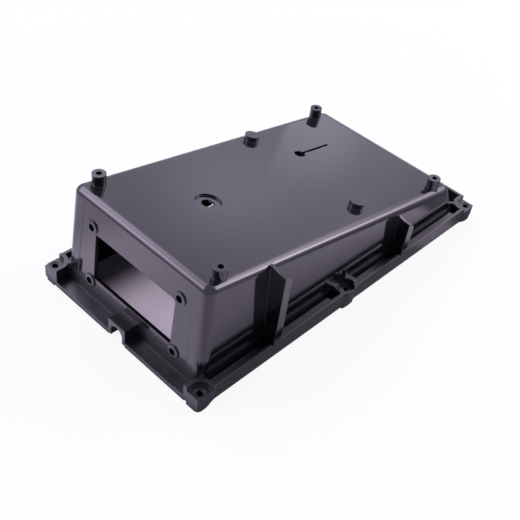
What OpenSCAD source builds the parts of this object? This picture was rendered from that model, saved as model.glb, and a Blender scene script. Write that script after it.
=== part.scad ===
// Control box cover: one injection moulding, standing on its open side.
// The window end is at -X, the low end at +X, and the feet stand on z = 0.

/* [Flange] */
// Length of the flange
length = 290; // [260:1:330]
// Width of the flange over both rims
width = 146; // [136:1:170]
// Height of the flange plate above the feet
foot_h = 2.2; // [1:0.1:4]
// Thickness of the flange plate
plate_t = 2.5; // [2:0.1:4]
// Height of the rim above the feet
rim_top = 14.6; // [12:0.1:18]
// Thickness of the rim
rim_t = 2.2; // [1.6:0.1:3]
// Width of the ledge inside the rim
ledge_w = 4.6; // [3:0.1:5]
// Height of the ledge above the feet
ledge_top = 11.6; // [8:0.1:12]
// Gap between the end of a ledge and the next boss or rib
ledge_gap = 6; // [3:0.5:9]
// Width of the groove between the ledge and the rim
groove_w = 1.1; // [0.8:0.1:1.6]
// Depth of that groove
groove_depth = 2.4; // [1:0.1:4]
// Height of the lip under the front edge
lip_h = 1; // [0.5:0.1:1.6]
// Thickness of that lip
lip_t = 1.8; // [1.2:0.1:3]

/* [Box] */
// Length of the box where it meets the flange
box_l = 269; // [250:1:275]
// Width of the box at the window end, where it meets the flange
box_w = 128; // [120:0.1:130]
// Width of the box at the low end, where it meets the flange
box_w_low = 131.4; // [122:0.1:132]
// Distance from the window end of the flange to the box
box_setback = 9.6; // [8:0.1:11]
// Height of the top above the feet, at the window end of the flange
top_h = 81.5; // [76:0.5:95]
// Fall of the top towards the low end
top_slope = 9.37; // [6:0.01:11]
// Draft of the window wall
front_draft = 3.8; // [1:0.1:6]
// Draft of the long walls
side_draft = 3; // [1:0.1:4]
// Slant of the wall at the low end
rear_slant = 28; // [10:1:32]
// Thickness of the walls and the top
wall = 2.8; // [2:0.1:3.4]
// Radius of the upright corners
corner_r = 6.6; // [6:0.1:9]
// Radius of the edge round the top
edge_r = 4.7; // [3:0.1:5.8]
// Radius of the rounded corners of the low end
rear_corner_r = 7.6; // [6:0.1:11]
// Radius of the edge at the low end
rear_edge_r = 14; // [11.5:0.5:18]

/* [Window] */
// Width of the window
window_w = 72; // [60:1:80]
// Height of the window
window_h = 35; // [28:1:38]
// Height of the window's sill above the feet
window_sill = 20.6; // [19:0.1:24]
// Radius of the window's corners
window_r = 1.2; // [0.5:0.1:3]
// Diameter of the screw holes at the window's corners
window_hole_d = 5; // [3:0.1:6]
// Distance between the window's holes across the box
window_hole_dy = 78.6; // [77:0.1:90]
// Distance between the window's holes up the wall
window_hole_dz = 42.2; // [40:0.1:48]
// Diameter of the raised pad round each window hole
window_pad_d = 9.2; // [8:0.1:11]
// Height of that pad
window_pad_h = 0.6; // [0.4:0.1:1]
// Width of the sunk panel round the window at its top
panel_w_top = 95; // [90:0.5:106]
// Width of that panel at its foot
panel_w_foot = 105; // [96:0.5:112]
// Height of the panel's top edge above the feet
panel_top = 75; // [70:0.1:76]
// Depth of the panel
panel_depth = 0.3; // [0.1:0.1:0.6]

/* [Top] */
// Distance of the tall end's posts from the window end
post_x1 = 29.2; // [26:0.1:34]
// Distance of the low end's posts from the window end
post_x2 = 243.6; // [230:0.1:246]
// Distance between the tall end's posts
post_dy1 = 105.6; // [90:0.1:106]
// Distance between the low end's posts
post_dy2 = 114; // [90:0.1:115]
// Diameter of a post
post_d = 9; // [7:0.1:9.5]
// Height of a post above the top
post_h = 7.8; // [5:0.1:12]
// Diameter of the screw hole in a post
post_hole_d = 3.8; // [2.5:0.1:5]
// Depth of the screw hole in a post
post_hole_depth = 7; // [4:0.1:8]
// Distance of the far round pad from the window end
pad_x1 = 164.5; // [155:0.1:172]
// Distance of the far round pad from the middle
pad_y1 = 52; // [40:0.1:53]
// Distance of the near round pad from the window end
pad_x2 = 166; // [155:0.1:172]
// Distance of the near round pad from the middle
pad_y2 = 45; // [38:0.1:52]
// Diameter of the two round pads
pad_d = 10.6; // [8:0.1:14]
// Height of the round pads
pad_h = 4; // [2:0.1:6]
// Distance of the round recess from the window end
recess_x = 77.4; // [70:0.1:90]
// Distance of the round recess from the middle
recess_y = 6.3; // [-10:0.1:20]
// Diameter of the round recess
recess_d = 17.5; // [16:0.1:24]
// Depth of the round recess
recess_depth = 1.4; // [1:0.1:1.8]
// Diameter of the hole in the recess
recess_hole_d = 8.6; // [6:0.1:12]
// Distance of the keyhole from the window end
keyhole_x = 183.7; // [178:0.1:190]
// Distance of the keyhole from the middle
keyhole_y = 21.2; // [10:0.1:30]
// Diameter of the keyhole's round hole
keyhole_d = 8; // [6:0.1:10]
// Width of the keyhole's slot
keyhole_slot_w = 2; // [1.2:0.1:3]
// Reach of the keyhole's slot from the hole's centre
keyhole_slot_l = 33; // [20:1:40]

/* [Screw bosses] */
// Distance of a corner screw from the end of the flange
corner_hole_x = 5.1; // [4.5:0.1:6]
// Distance of a corner screw from the rim's outer face
corner_hole_y = 3.8; // [3.5:0.1:5]
// Diameter of the corner screw holes
corner_hole_d = 4.2; // [3.5:0.1:5]
// Diameter of the spot face round a screw hole
spot_d = 6.4; // [6:0.1:7]
// Depth of the spot face
spot_depth = 0.5; // [0.3:0.1:0.8]
// Height of a boss's floor above the feet
boss_floor = 11.2; // [9:0.1:12]
// Length of the corner bosses at the window end
boss_l1 = 14.3; // [13:0.1:15]
// Length of the corner bosses at the low end
boss_l2 = 16.5; // [14:0.1:18]
// Width of a corner boss
boss_w = 12.3; // [11:0.1:13]
// Thickness of a boss's wall
boss_wall = 2.7; // [2:0.1:3]
// How far the bosses stand proud of the rim
boss_proud = 0.7; // [0.4:0.1:1.2]
// Length over which a corner boss runs out into the rim
run_out = 4; // [2:0.5:6]
// Outer radius of the middle bosses
mid_r = 9.4; // [8:0.1:10]
// Radius of the middle bosses' pocket
mid_pocket_r = 5.8; // [5:0.1:6.4]
// How far the ring of a middle boss rises above the rim
mid_rise = 1.6; // [0.6:0.1:2.4]
// Radius of the middle bosses' soft bulge out of the rim
bulge_r = 36; // [24:1:60]
// Height of a middle boss's floor above the feet
mid_floor = 11.6; // [9:0.1:12.2]
// Height of the low lip in front of that pocket
mid_lip_h = 1.2; // [0.8:0.1:2]
// Thickness of that lip
mid_lip_t = 1.2; // [0.8:0.1:1.6]
// Distance of the middle bosses from the window end
mid_x = 138.3; // [130:0.1:150]
// Distance of a middle screw from the rim's outer face
mid_hole_y = 4.4; // [4:0.1:5]
// Diameter of the middle screw holes
mid_hole_d = 3.8; // [3:0.1:4.5]

/* [Ribs] */
// Distance of the tall rib from the window end
rib_x1 = 63.2; // [55:0.1:75]
// Distance of the low rib from the window end
rib_x2 = 194.6; // [185:0.1:205]
// Height of the tall rib above the feet
rib_top1 = 68.9; // [50:0.1:70]
// Height of the low rib above the feet
rib_top2 = 40.8; // [30:0.1:44]
// Thickness of a rib's web
rib_t = 2.2; // [1.6:0.1:3]
// Width of a rib's outer flange
rib_flange_w = 6.4; // [5:0.1:9]
// Rise of a rib's web from the rim to the box
rib_rise = 1.8; // [0.5:0.1:2.6]
// Sag of that web's top edge halfway
rib_sag = 0.6; // [0.2:0.1:1]
// Fall of the flange's top edge across its width
rib_fall = 3.4; // [1:0.1:5]
// Width and depth of the small relief in the rim beside a rib
relief = 2; // [1:0.1:3]

/* [Cable notch] */
// Width of the block round the notch
notch_block_w = 15.6; // [14:0.1:20]
// Width of the notch
notch_w = 10.6; // [8:0.1:11]
// Thickness of the block over the notch
notch_roof = 2.5; // [2:0.1:3]
// Length of the low pad beside the near corner boss
step_l = 8; // [5:0.5:12]
// Height of that pad
step_h = 0.7; // [0.4:0.1:1.4]

/* [Hidden] */
$fn = 48;
colour = "#4f4d59";
eps = 0.01;
cut = 1;
plate_top = foot_h + plate_t;
front_x = -length / 2;
rear_x = length / 2;
half_w = width / 2;
box_x1 = front_x + box_setback;
box_x2 = box_x1 + box_l;
foot_r = 3.5;
foot_extra_l = 0.4;
foot_extra_w = 1;
foot_inner_r = 1.5;
arch_r = 9;
pocket_r = 7;
tab_l = 8;
tab_w = 2.4;
tab_in = 4.2;
mid_foot_in = 2.4;
window_reach = 20;

// Height of the top's outer face at a place along the box
function top_z(x) = top_h - (x - front_x) * tan(top_slope);
// Place of the window wall's outer face at a height
function front_at(z) = box_x1 + (z - plate_top) * tan(front_draft);
// Half the box's width at a place along it and a height
function side_at(x, z) = box_w / 2 + (box_w_low - box_w) / 2 * (x - box_x1) / box_l
    - (z - plate_top) * tan(side_draft);
// Place of the low end's outer face at a height
function rear_at(z) = box_x2 - (z - plate_top) * tan(rear_slant);

// Centre height of an edge rounding of radius r under the top
function edge_z(x, r) = top_z(x) - r / cos(top_slope);

// One rounded upright corner at its foot, cut level
module foot_disc(x, y, z, r) {
    translate([x, y, z])
        cylinder(r = r, h = 0.1, $fn = 64);
}

// The ring that rounds one tall corner of the top, in the plane of the top
module corner_ring(x, y, z, r, inset) {
    translate([x, y, z])
        rotate([0, top_slope, 0])
            rotate_extrude($fn = 64)
                intersection() {
                    translate([r - edge_r, 0])
                        circle(r = edge_r - inset, $fn = 32);
                    translate([0, -r])
                        square(2 * r);
                }
}

// The outer form of the box, or its cavity when inset is the wall
module box_form(inset, z0) {
    r = corner_r;
    x0 = front_at(z0) + r;
    x3 = rear_at(z0) - rear_corner_r;
    x1 = front_at(top_z(box_x1) - edge_r) + r;
    z1 = edge_z(x1, edge_r);
    y1 = side_at(x1, z1) - r;
    // Centre of the low end's large rounding, tangent to the top and the slanted wall
    turn = 90 - top_slope - rear_slant;
    z_ridge = (top_h - (box_x2 + plate_top * tan(rear_slant) - front_x) * tan(top_slope))
        / (1 - tan(rear_slant) * tan(top_slope));
    x_ridge = rear_at(z_ridge);
    reach = rear_edge_r * tan(turn / 2);
    xc = x_ridge - reach * cos(top_slope) - rear_edge_r * sin(top_slope);
    zc = z_ridge + reach * sin(top_slope) - rear_edge_r * cos(top_slope);
    hull() {
        for (s = [-1, 1]) {
            foot_disc(x0, s * (side_at(x0, z0) - r), z0, r - inset);
            foot_disc(x3, s * (side_at(x3, z0) - rear_corner_r), z0, rear_corner_r - inset);
            corner_ring(x1, s * y1, z1, r, inset);
            for (a = [0:turn / 5:turn + eps]) {
                x = xc + (rear_edge_r - rear_corner_r) * sin(top_slope + a);
                z = zc + (rear_edge_r - rear_corner_r) * cos(top_slope + a);
                translate([x, s * (side_at(x, z) - rear_corner_r), z])
                    sphere(r = rear_corner_r - inset, $fn = 32);
            }
        }
    }
}

// Both long sides alike
module both_sides() {
    children();
    mirror([0, 1, 0])
        children();
}

module plate() {
    translate([front_x, -half_w, foot_h])
        cube([length, width, plate_t]);
}

// The lip under the plate's front edge, on either side of the notch
module front_lip() {
    translate([front_x, -half_w + boss_w - 1, foot_h - lip_h])
        cube([lip_t, half_w - boss_w + 1 - notch_block_w / 2 + eps, lip_h + eps]);
}

// The raised wall round the long sides and the low end
module rim() {
    difference() {
        translate([front_x, -half_w, foot_h])
            cube([length, width, rim_top - foot_h]);
        translate([front_x - cut, -half_w + rim_t, 0])
            cube([length - rim_t + cut, width - 2 * rim_t, rim_top + cut]);
    }
}

// One stretch of the ledge inside a long rim, with the groove behind it
module ledge(x_from, x_to) {
    translate([x_from, -half_w + rim_t, plate_top - eps])
        difference() {
            translate([0, -eps, 0])
                cube([x_to - x_from, ledge_w + eps, ledge_top - plate_top + eps]);
            translate([-cut, 0, ledge_top - plate_top - groove_depth])
                cube([x_to - x_from + 2 * cut, groove_w, groove_depth + cut]);
        }
}

module ledges() {
    mid = front_x + mid_x;
    rib1 = front_x + rib_x1;
    rib2 = front_x + rib_x2;
    ledge(front_x + boss_l1 - eps, rib1 - ledge_gap - rib_t);
    ledge(rib1 + rib_flange_w, mid - mid_r - ledge_gap);
    ledge(mid + mid_pocket_r, rib2 - ledge_gap - rib_t);
    ledge(rib2 + rib_flange_w, rear_x - boss_l2 - ledge_gap);
}

// What a rounding of radius r takes off a corner at the origin of a shape towards +X +Y
module corner_waste(r) {
    difference() {
        translate([-cut, -cut])
            square(r + cut);
        translate([r, r])
            circle(r = r);
    }
}

// A boss outline: a rectangle with its outer and its inner corner rounded, which runs out
// into the rim
module boss_outline(l, w, r_out, r_in) {
    difference() {
        square([l, w]);
        corner_waste(r_out);
        polygon([[l - run_out, 0], [l - run_out, -cut], [l + cut, -cut], [l + cut, boss_proud], [l, boss_proud]]);
        translate([l, w])
            rotate(180)
                corner_waste(r_in);
    }
}

// A rectangle round the origin with four rounded corners
module rounded_rect(w, h, r) {
    difference() {
        square([w, h], center = true);
        for (a = [0, 180])
            rotate(a) {
                translate([-w / 2, -h / 2])
                    corner_waste(r);
                translate([w / 2, -h / 2])
                    rotate(90)
                        corner_waste(r);
            }
    }
}

// A corner boss with the flange's corner at its origin and the box towards +X +Y
module corner_boss(l) {
    foot_l = corner_hole_x * 2 + foot_extra_l;
    foot_w = (corner_hole_y + boss_proud) * 2 + foot_extra_w;
    translate([0, -boss_proud, foot_h])
        linear_extrude(rim_top - foot_h)
            boss_outline(l, boss_w + boss_proud, foot_r, arch_r);
    translate([0, -boss_proud, 0])
        linear_extrude(foot_h + eps)
            boss_outline(foot_l, foot_w, foot_r, foot_inner_r);
    // The small tab that ties the boss to the box
    translate([l - tab_in, boss_w - tab_in, plate_top])
        rotate([0, 0, 45])
            translate([0, -tab_w / 2, 0])
                cube([tab_l, tab_w, rim_top - plate_top]);
}

// What is cut from a corner boss: the pocket, the screw hole and its spot face
module corner_boss_cut(l) {
    translate([-cut, -boss_proud - cut, boss_floor])
        linear_extrude(rim_top - boss_floor + cut)
            difference() {
                square([l - boss_wall + cut, boss_w - boss_wall + boss_proud + cut]);
                translate([l - boss_wall + cut, boss_w - boss_wall + boss_proud + cut])
                    rotate(180)
                        corner_waste(pocket_r);
            }
    translate([corner_hole_x, corner_hole_y, -cut])
        cylinder(d = corner_hole_d, h = rim_top + 2 * cut);
    translate([corner_hole_x, corner_hole_y, boss_floor - spot_depth])
        cylinder(d = spot_d, h = rim_top);
}

// Places a child at each of the four corners, the window end first
module at_corners(window_end) {
    both_sides()
        if (window_end)
            translate([front_x, -half_w, 0])
                children();
        else
            translate([rear_x, -half_w, 0])
                mirror([1, 0, 0])
                    children();
}

// The plan of a middle boss round its screw: a disc, cut off at the rim's soft bulge
module mid_plan(r) {
    intersection() {
        circle(r = r);
        translate([0, bulge_r - mid_hole_y - boss_proud])
            circle(r = bulge_r, $fn = 240);
    }
}

module mid_boss() {
    translate([front_x + mid_x, -half_w + mid_hole_y, 0]) {
        translate([0, 0, foot_h])
            linear_extrude(rim_top - foot_h)
                mid_plan(mid_r);
        linear_extrude(foot_h + eps)
            mid_plan(mid_r - mid_foot_in);
        // The ring that rises above the rim, inside it
        translate([0, 0, rim_top - eps])
            linear_extrude(mid_rise + eps)
                intersection() {
                    circle(r = mid_r);
                    translate([-mid_r, rim_t - mid_hole_y])
                        square(2 * mid_r);
                }
        // The bulge itself, no deeper than the rim
        translate([0, 0, foot_h])
            linear_extrude(rim_top - foot_h)
                intersection() {
                    translate([0, bulge_r - mid_hole_y - boss_proud])
                        circle(r = bulge_r, $fn = 240);
                    translate([-bulge_r, -mid_hole_y - boss_proud - cut])
                        square([2 * bulge_r, boss_proud + cut + eps]);
                }
    }
}

// What is cut from a middle boss: the pocket but for its low lip, and the screw hole
module mid_boss_cut() {
    translate([front_x + mid_x, -half_w + mid_hole_y, 0]) {
        difference() {
            translate([0, 0, mid_floor])
                cylinder(r = mid_pocket_r, h = rim_top);
            translate([-mid_r, -mid_hole_y - boss_proud - cut, mid_floor - cut])
                cube([2 * mid_r, mid_lip_t + cut, mid_lip_h + cut]);
        }
        translate([0, 0, -cut])
            cylinder(d = mid_hole_d, h = rim_top + 2 * cut);
    }
}

// An upright rib: a web from the box to the rim, with a flange along the rim's face
module rib(x, top) {
    reach = half_w - side_at(x, top);
    rise = top + rib_rise;
    translate([x, -half_w, 0])
        rotate([90, 0, 90])
            linear_extrude(rib_t)
                polygon([
                    [0, foot_h],
                    [reach + wall / 2, foot_h],
                    [reach + wall / 2, rise],
                    [reach, rise],
                    [reach / 2, top + rib_rise / 2 - rib_sag],
                    [0, top]
                ]);
    translate([x, -half_w + rim_t, 0])
        rotate([90, 0, 0])
            linear_extrude(rim_t)
                polygon([[0, foot_h], [rib_flange_w, foot_h], [rib_flange_w, top - rib_fall], [0, top]]);
}

module ribs() {
    rib(front_x + rib_x1, rib_top1);
    rib(front_x + rib_x2, rib_top2);
}

// The small relief in the rim beside a rib
module rib_relief(x) {
    translate([x - relief, -half_w - cut, rim_top - relief])
        cube([relief, rim_t + 2 * cut, relief + cut]);
}

module window_cut() {
    translate([box_x1 - cut, 0, 0])
        rotate([90, 0, 90])
            linear_extrude(window_reach)
                translate([0, window_sill + window_h / 2])
                    rounded_rect(window_w, window_h, window_r);
}

// Places a child on the window wall, with +Z out of the wall
module on_front(y, z) {
    translate([front_at(z), y, z])
        rotate([0, -90 + front_draft, 0])
            children();
}

// What the sunk panel takes off the window wall
module panel_cut() {
    foot = [front_at(plate_top) - front_x, plate_top];
    head = [front_at(panel_top) - front_x, panel_top];
    difference() {
        translate([front_x, 0, 0])
            rotate([90, 0, 0])
                linear_extrude(panel_w_foot, center = true)
                    polygon([
                        foot - [cut, 0],
                        foot + [panel_depth, 0],
                        head + [panel_depth, 0],
                        head - [cut, 0]
                    ]);
        both_sides()
            translate([front_x, 0, 0])
                rotate([90, 0, 90])
                    linear_extrude(window_reach)
                        polygon([
                            [-panel_w_foot / 2, plate_top],
                            [-panel_w_top / 2, panel_top],
                            [-panel_w_top / 2, panel_top + cut],
                            [-panel_w_foot, panel_top + cut],
                            [-panel_w_foot, plate_top]
                        ]);
    }
}

module window_pads() {
    for (y = [-0.5, 0.5], z = [-0.5, 0.5])
        on_front(y * window_hole_dy, window_sill + window_h / 2 + z * window_hole_dz)
            translate([0, 0, -wall / 2])
                cylinder(d = window_pad_d, h = window_pad_h + wall / 2);
}

// The screw holes run level, as the mould's side core draws them
module window_holes() {
    for (y = [-0.5, 0.5], z = [-0.5, 0.5])
        translate([box_x1 - cut, y * window_hole_dy, window_sill + window_h / 2 + z * window_hole_dz])
            rotate([0, 90, 0])
                cylinder(d = window_hole_d, h = window_reach);
}

// Places a child on the top, upright, at a distance from the window end
module on_top(x, y) {
    translate([front_x + x, y, top_z(front_x + x)])
        children();
}

// Places a child on the top, square to it
module square_on_top(x, y) {
    on_top(x, y)
        rotate([0, top_slope, 0])
            children();
}

module at_posts() {
    for (s = [-0.5, 0.5]) {
        on_top(post_x1, s * post_dy1)
            children();
        on_top(post_x2, s * post_dy2)
            children();
    }
}

module posts() {
    at_posts()
        translate([0, 0, -wall])
            cylinder(d = post_d, h = post_h + wall);
}

module post_holes() {
    at_posts()
        translate([0, 0, post_h - post_hole_depth])
            cylinder(d = post_hole_d, h = post_hole_depth + cut);
}

module pads() {
    for (place = [[pad_x1, pad_y1], [pad_x2, -pad_y2]])
        square_on_top(place[0], place[1])
            translate([0, 0, -wall / 2])
                cylinder(d = pad_d, h = pad_h + wall / 2);
}

// The round recess with its hole, and the keyhole
module top_cuts() {
    square_on_top(recess_x, recess_y) {
        translate([0, 0, -recess_depth])
            cylinder(d = recess_d, h = recess_depth + cut);
        translate([0, 0, -wall - cut])
            cylinder(d = recess_hole_d, h = wall + 2 * cut);
    }
    square_on_top(keyhole_x, keyhole_y) {
        translate([0, 0, -wall - cut])
            cylinder(d = keyhole_d, h = wall + 2 * cut);
        translate([0, -keyhole_slot_w / 2, -wall - cut])
            cube([keyhole_slot_l, keyhole_slot_w, wall + 2 * cut]);
    }
}

// The block in front of the box that carries the cable notch
module notch_block() {
    translate([front_x, -notch_block_w / 2, foot_h])
        cube([box_setback + wall, notch_block_w, rim_top - foot_h]);
}

module notch_cut() {
    r = notch_w / 2;
    z = rim_top - notch_roof - r;
    translate([front_x - cut, 0, z])
        rotate([0, 90, 0])
            cylinder(r = r, h = box_setback + wall + 3 * cut);
    translate([front_x - cut, -r, -cut])
        cube([box_setback + wall + 3 * cut, notch_w, z + cut]);
}

// The low pad beside the near corner boss at the window end
module step() {
    translate([front_x, -half_w + boss_w - 1, plate_top - eps])
        cube([box_setback + 1, step_l + 1, step_h + eps]);
}

module cover() {
    color(colour)
        difference() {
            union() {
                plate();
                rim();
                notch_block();
                both_sides() {
                    front_lip();
                    ledges();
                    mid_boss();
                }
                step();
                at_corners(true)
                    corner_boss(boss_l1);
                at_corners(false)
                    corner_boss(boss_l2);
                difference() {
                    box_form(0, foot_h);
                    panel_cut();
                }
                ribs();
                window_pads();
                posts();
                pads();
            }
            box_form(wall, foot_h - cut);
            at_corners(true)
                corner_boss_cut(boss_l1);
            at_corners(false)
                corner_boss_cut(boss_l2);
            both_sides()
                mid_boss_cut();
            rib_relief(front_x + rib_x1);
            rib_relief(front_x + rib_x2);
            window_cut();
            window_holes();
            post_holes();
            top_cuts();
            notch_cut();
        }
}

cover();
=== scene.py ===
"""Looks of the control box cover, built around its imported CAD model.

The cover is one injection moulding in dark violet-grey plastic, standing on its open side on a
pale floor. The CAD solid is dressed with a procedural moulded plastic, and lit by soft boxes.
"""

import logging
import math
from dataclasses import dataclass
from enum import Enum
from typing import Any, Dict, List, Tuple, Union

import bpy
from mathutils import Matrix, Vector

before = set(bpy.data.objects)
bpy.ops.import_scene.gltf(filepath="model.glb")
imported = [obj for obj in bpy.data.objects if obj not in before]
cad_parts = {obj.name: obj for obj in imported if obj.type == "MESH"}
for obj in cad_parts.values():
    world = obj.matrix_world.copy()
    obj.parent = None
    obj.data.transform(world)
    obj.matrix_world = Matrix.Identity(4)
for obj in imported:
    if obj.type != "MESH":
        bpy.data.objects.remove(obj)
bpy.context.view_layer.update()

log = logging.getLogger("cover")

Number = Union["Value", float]
Span = Tuple[float, float]
Triple = Tuple[float, float, float]
Colour = Tuple[float, float, float, float]

# Places of the outputs that are read by number
SEEN_RAYS = (0, 3, 6)  # of Light Path: Is Camera Ray, Is Glossy Ray and Is Transmission Ray
OBJECT_PLACE = 3  # of Texture Coordinate
FACE_PLACE = 5  # of Geometry, which on a lamp runs from 0 to 1 across its face and up it
UPWARD = 2  # of Separate XYZ

# Places of the Mix node's inputs for colours
MIX_SHARE, MIX_FIRST, MIX_SECOND = 0, 6, 7

NOISE_MIDDLE = 0.5  # the value that noise lies around


class Value:
    """A number on a node's socket that can stand in a Python expression."""

    def __init__(self, graph: "Graph", socket: bpy.types.NodeSocket) -> None:
        """Keeps the socket and the graph that new Math nodes go into."""
        self.graph = graph
        self.socket = socket

    def _maths(self, operation: str, *values: Number) -> "Value":
        """Adds one Math node.

        Args:
            operation: the Math node's operation.
            values: its inputs, each a Value or a number.

        Returns:
            The node's result.
        """
        return self.graph.add("ShaderNodeMath", {"operation": operation}, dict(enumerate(values)))[0]

    def __add__(self, other: Number) -> "Value":
        """self + other."""
        return self._maths("ADD", self, other)

    def __radd__(self, other: Number) -> "Value":
        """other + self."""
        return self._maths("ADD", other, self)

    def __sub__(self, other: Number) -> "Value":
        """self - other."""
        return self._maths("SUBTRACT", self, other)

    def __rsub__(self, other: Number) -> "Value":
        """other - self."""
        return self._maths("SUBTRACT", other, self)

    def __mul__(self, other: Number) -> "Value":
        """self times other."""
        return self._maths("MULTIPLY", self, other)

    def __rmul__(self, other: Number) -> "Value":
        """other times self."""
        return self._maths("MULTIPLY", other, self)

    def __neg__(self) -> "Value":
        """self with the other sign."""
        return self._maths("SUBTRACT", 0.0, self)

    def size(self) -> "Value":
        """self without its sign."""
        return self._maths("ABSOLUTE", self)

    def larger(self, other: Number) -> "Value":
        """The larger of self and other."""
        return self._maths("MAXIMUM", self, other)

    def ramp(self, low: float, high: float) -> "Value":
        """Rises smoothly from 0 to 1.

        Args:
            low: the value that gives 0.
            high: the value that gives 1.

        Returns:
            The share of the way from low to high.
        """
        sockets = {"Value": self, "From Min": low, "From Max": high}
        return self.graph.add("ShaderNodeMapRange", {"interpolation_type": "SMOOTHSTEP"}, sockets)[0]


class Graph:
    """The node tree of one material, lamp or world, emptied and ready to be built."""

    def __init__(self, tree: bpy.types.NodeTree) -> None:
        """Empties the tree."""
        self.tree = tree
        self.tree.nodes.clear()

    def add(self, kind: str, settings: Dict[str, Any], sockets: Dict[Any, Any]) -> List[Value]:
        """Adds one node.

        Args:
            kind: the node's type.
            settings: its properties, which are set first.
            sockets: what goes into its inputs, a Value or a plain value by name or number.

        Returns:
            Its outputs that are in use, in their order.
        """
        node = self.tree.nodes.new(kind)
        for name, setting in settings.items():
            setattr(node, name, setting)
        for name, what in sockets.items():
            if isinstance(what, Value):
                self.tree.links.new(what.socket, node.inputs[name])
            else:
                node.inputs[name].default_value = what
        return [Value(self, out) for out in node.outputs if out.enabled]

    def blend(self, share: Value, first: Union[Value, Colour], second: Union[Value, Colour]) -> Value:
        """Mixes two colours.

        Args:
            share: how much of the second colour there is, from 0 to 1.
            first: the colour at 0.
            second: the colour at 1.

        Returns:
            The mixed colour.
        """
        sockets = {MIX_SHARE: share, MIX_FIRST: first, MIX_SECOND: second}
        return self.add("ShaderNodeMix", {"data_type": "RGBA"}, sockets)[0]


@dataclass(frozen=True)
class MouldedPlastic:
    """Dark injection moulded plastic with faint flow marks, specks of dust and a fine grain.

    It is glossy on the box and satin on the flange, between whose heights it changes smoothly.
    Its edges are rounded in the shading. Sizes are in metres, and the scales of the patterns are
    in waves or cells per metre.
    """

    name: str = "moulded_plastic"
    body: Colour = (0.0078, 0.0075, 0.0094, 1.0)
    body_light: Colour = (0.0092, 0.0088, 0.0110, 1.0)
    flow_scale: float = 14.0
    flow_detail: float = 3.0
    flow_distortion: float = 0.8
    flow_range: Span = (0.35, 0.65)
    dust: Colour = (0.30, 0.28, 0.33, 1.0)
    dust_scale: float = 140.0
    dust_share: float = 0.10
    dust_core: float = 0.03
    dust_edge: float = 0.06
    sheen_tint: Colour = (0.97, 0.93, 1.0, 1.0)
    roughness: float = 0.07
    roughness_spread: float = 0.02
    cloud_scale: float = 90.0
    cloud_detail: float = 4.0
    satin: float = 0.34
    satin_below: float = 0.0150
    gloss_above: float = 0.0190
    refraction: float = 1.585
    edge_radius: float = 0.0005
    edge_samples: int = 6
    grain_size: float = 0.003
    grain_detail: float = 1.0
    grain_depth: float = 0.000003

    def make(self) -> bpy.types.Material:
        """Builds the material.

        Returns:
            The plastic, for a piece whose place is in its mesh.
        """
        material = bpy.data.materials.new(self.name)
        material.use_nodes = True
        graph = Graph(material.node_tree)
        place = graph.add("ShaderNodeTexCoord", {}, {})[OBJECT_PLACE]
        flow = self._noise(graph, place, self.flow_scale, self.flow_detail, self.flow_distortion)
        sockets = {
            "Base Color": self._colour(graph, place, flow),
            "Roughness": self._rough(graph, place, flow),
            "IOR": self.refraction,
            "Specular Tint": self.sheen_tint,
            "Normal": self._surface(graph, place),
        }
        shader = graph.add("ShaderNodeBsdfPrincipled", {}, sockets)[0]
        graph.add("ShaderNodeOutputMaterial", {}, {"Surface": shader})
        return material

    @staticmethod
    def _noise(
        graph: Graph, place: Value, scale: float, detail: float, distortion: float = 0.0
    ) -> Value:
        """Adds a noise pattern.

        Args:
            graph: the material's nodes.
            place: the place on the piece.
            scale: waves per metre.
            detail: how many finer waves it has.
            distortion: how much it is swirled.

        Returns:
            The pattern, around NOISE_MIDDLE.
        """
        sockets = {"Vector": place, "Scale": scale, "Detail": detail, "Distortion": distortion}
        return graph.add("ShaderNodeTexNoise", {}, sockets)[0]

    def _colour(self, graph: Graph, place: Value, flow: Value) -> Value:
        """The body's colour, which the flow marks vary, with specks of dust on it.

        Args:
            graph: the material's nodes.
            place: the place on the piece.
            flow: the pattern of the flow marks.

        Returns:
            The colour.
        """
        colour = graph.blend(flow.ramp(*self.flow_range), self.body, self.body_light)
        sockets = {"Vector": place, "Scale": self.dust_scale, "Randomness": 1.0}
        distance = graph.add("ShaderNodeTexVoronoi", {"feature": "F1"}, sockets)[0]
        specks = 1.0 - distance.ramp(self.dust_core, self.dust_edge)
        return graph.blend(specks * self.dust_share, colour, self.dust)

    def _rough(self, graph: Graph, place: Value, flow: Value) -> Value:
        """The roughness, low on the box and higher on the flange.

        Args:
            graph: the material's nodes.
            place: the place on the piece.
            flow: the pattern of the flow marks.

        Returns:
            The roughness.
        """
        cloud = self._noise(graph, place, self.cloud_scale, self.cloud_detail)
        height = graph.add("ShaderNodeSeparateXYZ", {}, {"Vector": place})[UPWARD]
        flange = 1.0 - height.ramp(self.satin_below, self.gloss_above)
        uneven = ((cloud - NOISE_MIDDLE) + (flow - NOISE_MIDDLE)) * self.roughness_spread
        return self.roughness + uneven + flange * (self.satin - self.roughness)

    def _surface(self, graph: Graph, place: Value) -> Value:
        """The surface's direction, with rounded edges and a fine grain.

        Args:
            graph: the material's nodes.
            place: the place on the piece.

        Returns:
            The direction, for the shader's Normal.
        """
        settings = {"samples": self.edge_samples}
        rounded = graph.add("ShaderNodeBevel", settings, {"Radius": self.edge_radius})[0]
        grain = self._noise(graph, place, 1.0 / self.grain_size, self.grain_detail)
        sockets = {"Height": grain, "Strength": 1.0, "Distance": self.grain_depth, "Normal": rounded}
        return graph.add("ShaderNodeBump", {}, sockets)[0]


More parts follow.
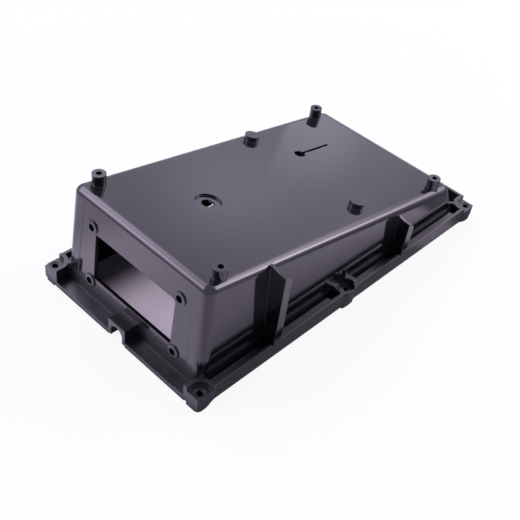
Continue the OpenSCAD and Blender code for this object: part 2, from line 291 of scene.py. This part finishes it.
@dataclass(frozen=True)
class PaleGround:
    """The plain pale floor: white to the camera, and a matt floor that keeps the object's shadow.

    Under the cover it shows only a part of its white, as painted light with a painted tint, which
    ends towards the far side. In the gloss it has a painted shadow, a dark stripe around the cover,
    except near the low end, and painted shade at the low end. It adds a painted glow in front of the
    window end and along the near side, which stands in for lit floor in the reflections. Places and
    widths are in metres from the middle of the cover.
    """

    name: str = "pale_ground"
    tone: Colour = (0.86, 0.86, 0.86, 1.0)
    tone_in_gloss: Colour = (0.88, 0.85, 0.92, 1.0)
    # painted light: the tint of the glow that the floor adds in the gloss
    painted_glow_tint: Colour = (0.93, 0.86, 1.05, 1.0)
    # painted shadow: the black that the floor shows in the gloss around the cover
    painted_shadow: Colour = (0.0, 0.0, 0.0, 1.0)
    white: Colour = (1.0, 1.0, 1.0, 1.0)
    # painted light under the cover: its tint, which also tints the matt floor there
    painted_tint_under_cover: Colour = (0.95, 0.80, 1.0, 1.0)

    white_to_camera: float = 0.90
    # painted light under the cover, fading towards the far side
    painted_light_under_cover: float = 0.31
    painted_light_fades_y: Span = (0.017, 0.050)
    white_far_out: float = 0.80
    far_out: float = 1.2
    far_edge: float = 0.8

    covered_x: float = 0.131
    covered_y: float = 0.063
    covered_edge: float = 0.004
    covered_more: float = 0.008
    covered_more_past: Span = (0.03, 0.05)

    # painted shadow in the gloss: where the dark stripe lies, and where it is less dark by the rim
    shaded_x: float = 0.147
    shaded_y: float = 0.0892
    shaded_edge: float = 0.004
    shaded_up_to: Span = (0.075, 0.090)
    by_rim_y: float = 0.0830
    by_rim_edge: float = 0.002
    by_rim_lit: float = 0.6

    # painted shade at the low end, which the floor shows in the gloss
    low_end_x: Span = (0.118, 0.135)
    low_end_y: Span = (0.0, 0.05)
    low_end_painted_shade: float = 0.75

    # painted light: the glow in front of the window end, seen in the gloss
    front_x: Span = (0.145, 0.152)
    front_rise_y: Span = (-0.11, -0.04)
    front_rise: float = 0.80
    front_top_y: Span = (0.0, 0.05)
    front_top: float = 0.20
    front_fall_y: Span = (0.07, 0.115)
    front_fall: float = 0.75

    # painted light: the glow along the near side, seen in the gloss
    near_glow: float = 0.20
    near_y: Span = (0.086, 0.106)
    near_pulled_in: float = 0.02
    near_pulled_in_x: Span = (0.070, 0.090)

    def make(self) -> bpy.types.Material:
        """Builds the material.

        Returns:
            The floor's finish.
        """
        material = bpy.data.materials.new(self.name)
        material.use_nodes = True
        graph = Graph(material.node_tree)
        path = graph.add("ShaderNodeLightPath", {}, {})
        camera, gloss, through = (path[ray] for ray in SEEN_RAYS)
        place = graph.add("ShaderNodeTexCoord", {}, {})[OBJECT_PLACE]
        x, y, _ = graph.add("ShaderNodeSeparateXYZ", {}, {"Vector": place})
        more = x.size().ramp(*self.covered_more_past) * self.covered_more
        open_floor = self._outside(x, y, self.covered_x, self.covered_y, self.covered_edge, more)
        far_floor = self._outside(x, y, self.far_out, self.far_out, self.far_edge)
        # painted shade at the low end, seen in reflections
        outside_low_end_shade = 1.0 - x.ramp(*self.low_end_x) * (-y).ramp(*self.low_end_y) * self.low_end_painted_shade

        # painted shadow and painted shade, which the floor shows only in reflections
        outside_painted_shade = (1.0 - self._painted_shadow_stripe(x, y)) * outside_low_end_shade
        mirrored = graph.blend(outside_painted_shade, self.painted_shadow, self.tone_in_gloss)
        plain = graph.blend(open_floor, self.painted_tint_under_cover, self.tone)
        tone = graph.blend(gloss, plain, mirrored)
        matt = graph.add("ShaderNodeBsdfDiffuse", {}, {"Color": tone})[0]

        bright = graph.blend(open_floor, self.painted_tint_under_cover, self.white)
        glow = graph.add("ShaderNodeEmission", {}, {"Color": bright, "Strength": 1.0})[0]
        # painted light under the cover, which fades towards the far side
        painted_under = self.painted_light_under_cover * (1.0 - y.ramp(*self.painted_light_fades_y))
        seen = painted_under + open_floor * (self.white_to_camera - painted_under)
        white = (camera.larger(through) * seen).larger(gloss * far_floor * self.white_far_out)
        ground = graph.add("ShaderNodeMixShader", {}, {0: white, 1: matt, 2: glow})[0]

        # painted light: a glow that the floor adds only in reflections
        painted_glow_strength = gloss * (1.0 - far_floor) * self._painted_glow(x, y, outside_low_end_shade)
        added = graph.add("ShaderNodeEmission", {}, {"Color": self.painted_glow_tint, "Strength": painted_glow_strength})[0]
        surface = graph.add("ShaderNodeAddShader", {}, {0: ground, 1: added})[0]
        graph.add("ShaderNodeOutputMaterial", {}, {"Surface": surface})
        return material

    def _painted_shadow_stripe(self, x: Value, y: Value) -> Value:
        """The painted shadow, a dark stripe around the cover, less dark close to its rim.

        The rim's outside mirrors it.

        Args:
            x: the place along the cover.
            y: the place across it.

        Returns:
            How dark the painted shadow is, from 0 to 1.
        """
        beside = 1.0 - self._outside(x, y, self.shaded_x, self.shaded_y, self.shaded_edge)
        by_rim = 1.0 - self._outside(x, y, self.shaded_x, self.by_rim_y, self.by_rim_edge)
        return beside * (1.0 - by_rim * self.by_rim_lit) * (1.0 - x.ramp(*self.shaded_up_to))

    def _painted_glow(self, x: Value, y: Value, outside_low_end_shade: Value) -> Value:
        """The painted glow in front of the window end and along the near side, seen in the gloss.

        Args:
            x: the place along the cover.
            y: the place across it.
            outside_low_end_shade: 1, and less in the painted shade at the low end.

        Returns:
            The strength of the painted glow, from 0 to 1.
        """
        front = self.front_rise * y.ramp(*self.front_rise_y)
        front = front + self.front_top * y.ramp(*self.front_top_y)
        front = (-x).ramp(*self.front_x) * front * (1.0 - self.front_fall * y.ramp(*self.front_fall_y))
        pulled_in = self.near_pulled_in * x.ramp(*self.near_pulled_in_x)
        near_side = (pulled_in - y).ramp(*self.near_y) * outside_low_end_shade
        return front.larger(near_side * self.near_glow)

    @staticmethod
    def _outside(
        x: Value, y: Value, half_x: float, half_y: float, edge: float, wider: Number = 0.0
    ) -> Value:
        """1 outside a rectangle round the middle and 0 inside it, with a soft edge.

        Args:
            x: the place along the cover.
            y: the place across it.
            half_x: half the rectangle's length.
            half_y: half its width.
            edge: width of the soft edge.
            wider: how much wider it is on each side, which may change along the cover.

        Returns:
            The mask.
        """
        across = (y.size() - wider).ramp(half_y - edge, half_y)
        return x.size().ramp(half_x - edge, half_x).larger(across)


@dataclass
class CoverShell:
    """The moulded cover itself, the one piece of the object."""

    node: str = "cover"
    slot: str = "cover"

    def dress(self, finish: MouldedPlastic) -> bpy.types.Object:
        """Gives the CAD solid its finish.

        Args:
            finish: the plastic it is moulded in.

        Returns:
            The dressed piece.
        """
        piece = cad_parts[self.node]
        piece.data.materials.clear()
        piece.data.materials.append(finish.make())
        return piece


@dataclass(frozen=True)
class Lamp:
    """A soft box seen from the cover.

    Its direction and spread are in degrees, and its distance is in metres. It fades towards its
    edges over the given shares of its face: the edge with the smaller azimuth first, then the one
    with the larger azimuth, the lower and the upper one.
    """

    azimuth: float
    elevation: float
    width: float
    height: float
    brightness: float
    tint: Triple
    fades: Tuple[float, float, float, float] = (0.5, 0.5, 0.5, 0.5)
    distance: float = 1.5

    def width_m(self) -> float:
        """Its width in metres."""
        return 2.0 * self.distance * math.tan(math.radians(self.width) / 2.0)

    def height_m(self) -> float:
        """Its height in metres."""
        return 2.0 * self.distance * math.tan(math.radians(self.height) / 2.0)

    def direction(self) -> Vector:
        """The unit vector from the cover to the lamp."""
        azimuth, elevation = math.radians(self.azimuth), math.radians(self.elevation)
        level = math.cos(elevation)
        return Vector((level * math.cos(azimuth), level * math.sin(azimuth), math.sin(elevation)))


class SoftBox(Enum):
    """The soft boxes of the studio, which add to the pale room."""

    NEAR_HALO = Lamp(-10.0, 42.0, 76.0, 46.0, 3.8, (1.0, 0.92, 1.10))
    NEAR_MIDDLE = Lamp(-34.0, 33.0, 44.0, 50.0, 4.0, (1.0, 0.93, 1.08))
    NEAR_CORE = Lamp(-35.0, 24.0, 22.0, 34.0, 8.0, (1.0, 0.93, 1.08), (0.9, 0.5, 0.5, 0.5))
    NEAR_LOW = Lamp(-22.0, 15.0, 40.0, 26.0, 3.0, (1.0, 0.93, 1.08))
    FRONT_EDGE = Lamp(97.0, 50.0, 92.0, 50.0, 4.1, (1.0, 0.93, 1.18))
    FRONT_LEFT = Lamp(140.0, 32.0, 60.0, 44.0, 5.0, (1.0, 0.93, 1.12))
    LOW_BACK = Lamp(28.5, 16.5, 9.0, 12.0, 0.50, (1.0, 0.90, 1.12), (0.6, 0.02, 0.1, 0.55))
    WIDE_BACK = Lamp(39.0, 23.0, 44.0, 26.0, 0.31, (1.0, 0.98, 1.20), (0.2, 0.2, 0.2, 0.2))
    MIDDLE_BACK = Lamp(31.5, 22.0, 14.0, 12.0, 0.16, (1.0, 0.94, 1.20))
    UPPER_BACK = Lamp(37.0, 24.5, 18.0, 14.0, 0.42, (1.0, 0.98, 1.20))


@dataclass
class Studio:
    """The floor, the lamps, the world and the camera.

    Sizes and places are in metres, angles in degrees, and the lens and the sensor in millimetres.
    """

    floor_size: float = 40.0
    world_level: float = 0.20
    world_in_gloss: Colour = (0.76, 0.72, 0.88, 1.0)
    world_to_camera: Colour = (1.0, 1.0, 1.0, 1.0)
    lamp_target: Triple = (0.0, 0.0, 0.05)
    eye: Triple = (-0.36504, -0.27397, 0.39045)
    turn: Triple = (47.8976, -6.6020, -46.0027)
    lens: float = 57.684
    sensor: float = 36.0
    clip_start: float = 0.01

    def lay_floor(self, finish: PaleGround) -> bpy.types.Object:
        """Lays the floor under the feet.

        Args:
            finish: the floor's material.

        Returns:
            The floor.
        """
        bpy.ops.mesh.primitive_plane_add(size=self.floor_size, location=(0.0, 0.0, 0.0))
        floor = bpy.context.active_object
        floor.name = "floor"
        floor.data.materials.append(finish.make())
        return floor

    def hang_lamps(self) -> None:
        """Hangs the soft boxes, each turned to the cover."""
        target = Vector(self.lamp_target)
        for box in SoftBox:
            lamp = box.value
            out = lamp.direction()
            width, height = lamp.width_m(), lamp.height_m()
            bpy.ops.object.light_add(type="AREA", location=target + out * lamp.distance)
            light = bpy.context.active_object
            light.name = "soft_box_" + box.name.lower()
            light.rotation_euler = (-out).to_track_quat("-Z", "Y").to_euler()
            light.data.shape = "RECTANGLE"
            light.data.size = width
            light.data.size_y = height
            light.data.color = lamp.tint
            light.data.energy = lamp.brightness * math.pi * width * height
            self._fade(light.data, lamp.fades)

    @staticmethod
    def _fade(light: bpy.types.Light, fades: Tuple[float, float, float, float]) -> None:
        """Lets a soft box fade towards its edges.

        Args:
            light: the lamp's data.
            fades: the shares of its face that fade, in the order that Lamp gives.
        """
        light.use_nodes = True
        graph = Graph(light.node_tree)
        face = graph.add("ShaderNodeNewGeometry", {}, {})[FACE_PLACE]
        across, up, _ = graph.add("ShaderNodeSeparateXYZ", {}, {"Vector": face})
        first, last, lower, upper = fades
        level = across.ramp(0.0, first) * (1.0 - across).ramp(0.0, last)
        level = level * up.ramp(0.0, lower) * (1.0 - up).ramp(0.0, upper)
        glow = graph.add("ShaderNodeEmission", {}, {"Strength": level})[0]
        graph.add("ShaderNodeOutputLight", {}, {"Surface": glow})

    def light_world(self) -> None:
        """Fills the world with even pale light, shown as white behind the object and in its gloss."""
        world = bpy.data.worlds.new("pale_room")
        bpy.context.scene.world = world
        world.use_nodes = True
        graph = Graph(world.node_tree)
        path = graph.add("ShaderNodeLightPath", {}, {})
        camera, gloss, through = (path[ray] for ray in SEEN_RAYS)
        seen = camera.larger(gloss).larger(through)
        strength = self.world_level + seen * (1.0 - self.world_level)
        colour = graph.blend(camera, self.world_in_gloss, self.world_to_camera)
        light = graph.add("ShaderNodeBackground", {}, {"Color": colour, "Strength": strength})[0]
        graph.add("ShaderNodeOutputWorld", {}, {"Surface": light})

    def set_camera(self) -> bpy.types.Object:
        """Sets the camera at the photograph's viewing angle.

        Returns:
            The camera.
        """
        turn = [math.radians(angle) for angle in self.turn]
        bpy.ops.object.camera_add(location=self.eye, rotation=turn)
        camera = bpy.context.active_object
        camera.name = "camera"
        camera.data.lens = self.lens
        camera.data.sensor_width = self.sensor
        camera.data.clip_start = self.clip_start
        bpy.context.scene.camera = camera
        return camera


def main() -> None:
    """Builds the studio and the cover, and reports each piece."""
    logging.basicConfig(level=logging.INFO, format="%(name)s: %(message)s")
    bpy.ops.object.select_all(action="DESELECT")
    bpy.context.scene.view_settings.view_transform = "Standard"
    studio = Studio()
    studio.set_camera()
    studio.light_world()
    studio.lay_floor(PaleGround())
    studio.hang_lamps()
    piece = CoverShell().dress(MouldedPlastic())
    log.info("%s has %d faces", piece.name, len(piece.data.polygons))


if __name__ == "__main__":
    main()
